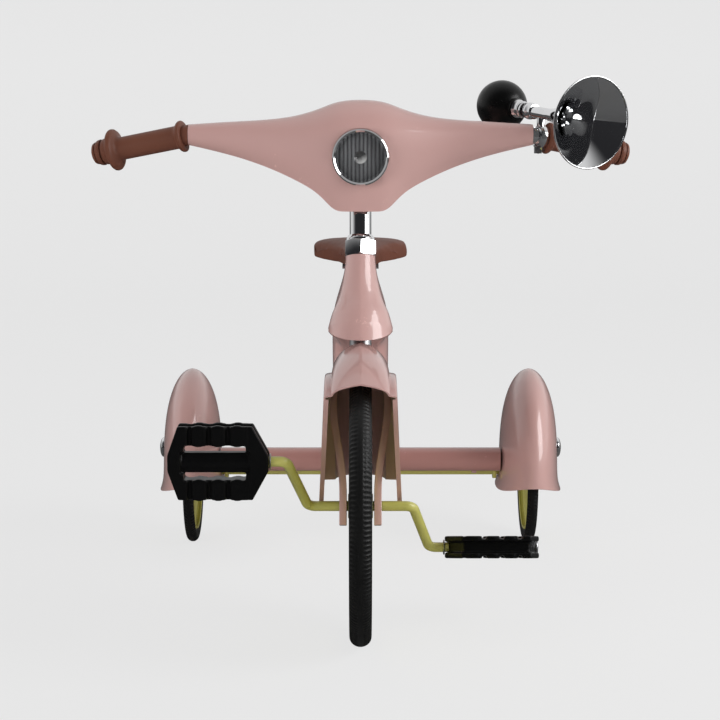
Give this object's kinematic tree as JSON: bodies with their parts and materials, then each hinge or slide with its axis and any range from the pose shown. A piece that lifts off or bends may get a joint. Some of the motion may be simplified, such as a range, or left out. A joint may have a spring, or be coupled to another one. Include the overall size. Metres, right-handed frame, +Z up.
{
  "type": "tricycle",
  "caption": "Streamlined child's pedal tricycle with a winged handlebar shell, headlight, squeeze horn, front fender, pod rear fenders and saddle.",
  "frame": {"origin": "centre of the outline on the ground", "axes": "+Z up, the tricycle faces -Y, +X is to the rider's left"},
  "size_m": [0.6122, 0.764, 0.6164],
  "materials": {
    "paint_pink": "gloss clear coat",
    "paint_olive": "satin",
    "steel": "satin",
    "chrome": "mirror",
    "tyre": "matt",
    "plastic": "matt",
    "grip": "satin",
    "bulb_rubber": "satin",
    "saddle": "satin",
    "lens": "clear, ribbed",
    "lamp_glass": "clear"
  },
  "bodies": {
    "frame": {"backbone": "paint_pink", "neck_fairing": "paint_pink", "head_tube": "steel", "head_bushings": "plastic", "seat_tube": "paint_pink", "seat_clamp": "chrome", "rear_beam": "paint_pink", "axle_brackets": "paint_pink", "rear_axle": "paint_olive", "axle_collars": "paint_olive", "axle_nuts": "steel", "rear_fender_l": "paint_pink", "rear_fender_r": "paint_pink", "fender_stays": "steel", "cap_nuts": "chrome"},
    "seat": {"seat_post": "chrome", "saddle_bracket": "steel", "saddle_pan": "plastic", "saddle_cover": "saddle"},
    "steering": {"steerer": "steel", "fork_crown": "paint_pink", "fork_blade_l": "paint_pink", "fork_blade_r": "paint_pink", "crank_bushings": "plastic", "front_fender": "paint_pink", "lock_nut": "chrome", "stem": "chrome", "handlebar": "chrome", "bar_shell": "paint_pink", "grip_right": "grip", "grip_left": "grip", "headlight_bezel": "chrome", "headlight_lens": "lens", "headlight_reflector": "chrome", "headlight_bulb": "lamp_glass", "headlight_bucket": "paint_pink", "horn_clamp": "chrome", "horn_screw": "steel", "horn_bell": "chrome", "horn_ferrule": "chrome", "horn_bulb": "bulb_rubber"},
    "front_wheel": {"front_tire": "tyre", "front_disc": "paint_olive", "front_hub": "steel", "crank": "paint_olive", "pedal_nuts": "steel"},
    "pedal_right": {"pedal_r": "plastic"},
    "pedal_left": {"pedal_l_body": "plastic"},
    "rear_wheel_left": {"rear_tire_l": "tyre", "rear_disc_l": "paint_olive", "rear_hub_left": "steel"},
    "rear_wheel_right": {"rear_tire_r": "tyre", "rear_disc_r": "paint_olive", "rear_hub_right": "steel"}
  },
  "joints": [
    {"name": "steering_turn", "type": "hinge", "parent": "frame", "child": "steering", "pos_m": [0, -0.23, 0.152], "axis": [0, 0.2588, 0.9659], "range_deg": [-35, 35]},
    {"name": "front_wheel_spin", "type": "hinge", "parent": "steering", "child": "front_wheel", "pos_m": [0, -0.23, 0.152], "axis": [1, 0, 0], "continuous": true},
    {"name": "pedal_right_spin", "type": "hinge", "parent": "front_wheel", "child": "pedal_right", "pos_m": [-0.1495, -0.3066, 0.21628], "axis": [1, 0, 0], "continuous": true},
    {"name": "pedal_left_spin", "type": "hinge", "parent": "front_wheel", "child": "pedal_left", "pos_m": [0.1495, -0.1534, 0.08772], "axis": [1, 0, 0], "continuous": true},
    {"name": "rear_wheel_left_spin", "type": "hinge", "parent": "frame", "child": "rear_wheel_left", "pos_m": [0.223, 0.256, 0.095], "axis": [1, 0, 0], "continuous": true},
    {"name": "rear_wheel_right_spin", "type": "hinge", "parent": "frame", "child": "rear_wheel_right", "pos_m": [-0.223, 0.256, 0.095], "axis": [1, 0, 0], "continuous": true},
    {"name": "seat_height", "type": "slide", "parent": "frame", "child": "seat", "axis": [0, 0, 1], "range_m": [0, 0.035]}
  ]
}
